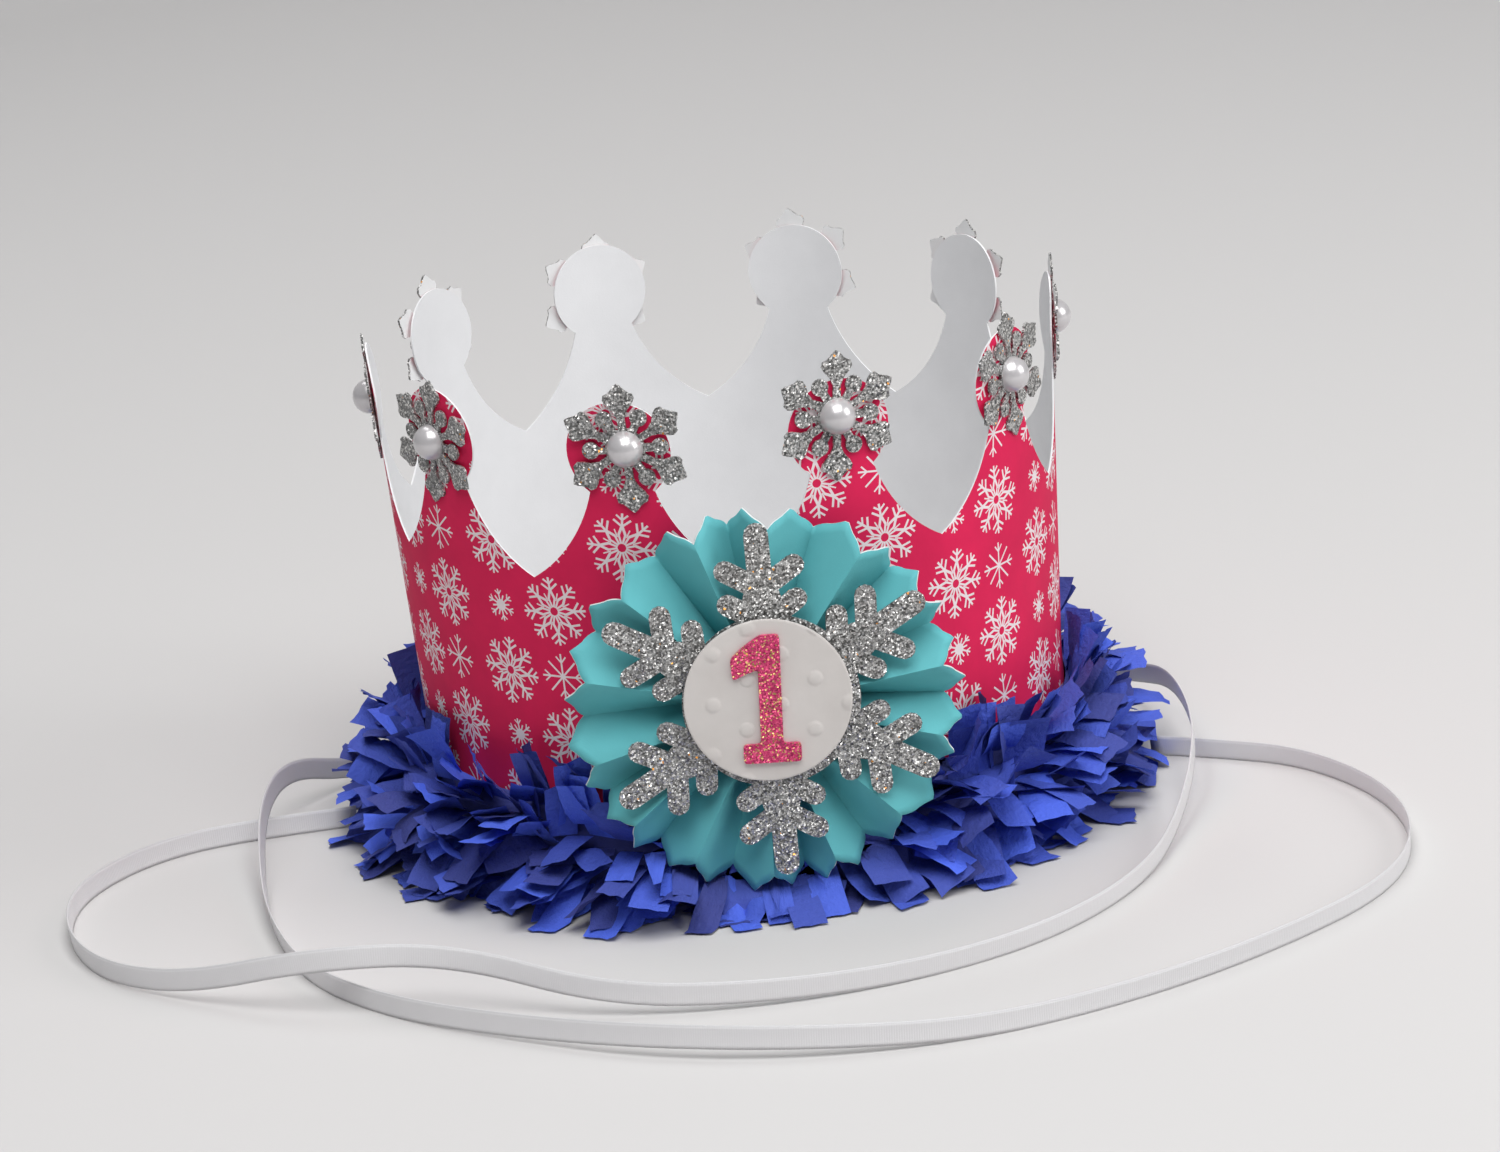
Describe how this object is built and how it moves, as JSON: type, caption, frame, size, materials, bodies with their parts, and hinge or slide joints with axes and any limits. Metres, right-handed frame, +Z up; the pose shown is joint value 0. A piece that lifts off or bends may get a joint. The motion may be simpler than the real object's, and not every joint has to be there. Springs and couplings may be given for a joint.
{
  "type": "paper party crown",
  "caption": "Printed card party crown with round-headed points, a cut tissue fringe, a pleated rosette with a snowflake and numeral badge, glitter flakes, half pearls and tie ribbons.",
  "frame": {"origin": "centre of the head opening, on the plane that the hem stands on", "axes": "+Z up through the points, -Y out of the front where the rosette is, +X to the viewer's right"},
  "size_m": [0.2961, 0.2639, 0.1225],
  "materials": {
    "printed_card": "matte printed card, white inside",
    "blue_tissue": "thin crisp tissue paper",
    "teal_card": "matte coloured card with white cut edges",
    "silver_glitter": "silver glitter on white card",
    "white_foam": "white foam sheet",
    "pearl_card": "embossed pearlescent card",
    "pink_glitter": "pink glitter with gold flecks",
    "pearl_plastic": "pearl coating",
    "white_satin": "satin ribbon"
  },
  "bodies": {
    "root": {"crown_band": "printed_card", "tissue_fringe": "blue_tissue", "rosette": "teal_card", "rosette_backing": "teal_card", "glitter_snowflake": "silver_glitter", "glitter_flake_01": "silver_glitter", "glitter_flake_02": "silver_glitter", "glitter_flake_03": "silver_glitter", "glitter_flake_04": "silver_glitter", "glitter_flake_05": "silver_glitter", "glitter_flake_06": "silver_glitter", "glitter_flake_07": "silver_glitter", "glitter_flake_08": "silver_glitter", "glitter_flake_09": "silver_glitter", "glitter_flake_10": "silver_glitter", "badge_foam_pad": "white_foam", "badge_disc": "pearl_card", "numeral_one": "pink_glitter", "half_pearls": "pearl_plastic", "ribbon_left": "white_satin", "ribbon_right": "white_satin"}
  },
  "joints": []
}
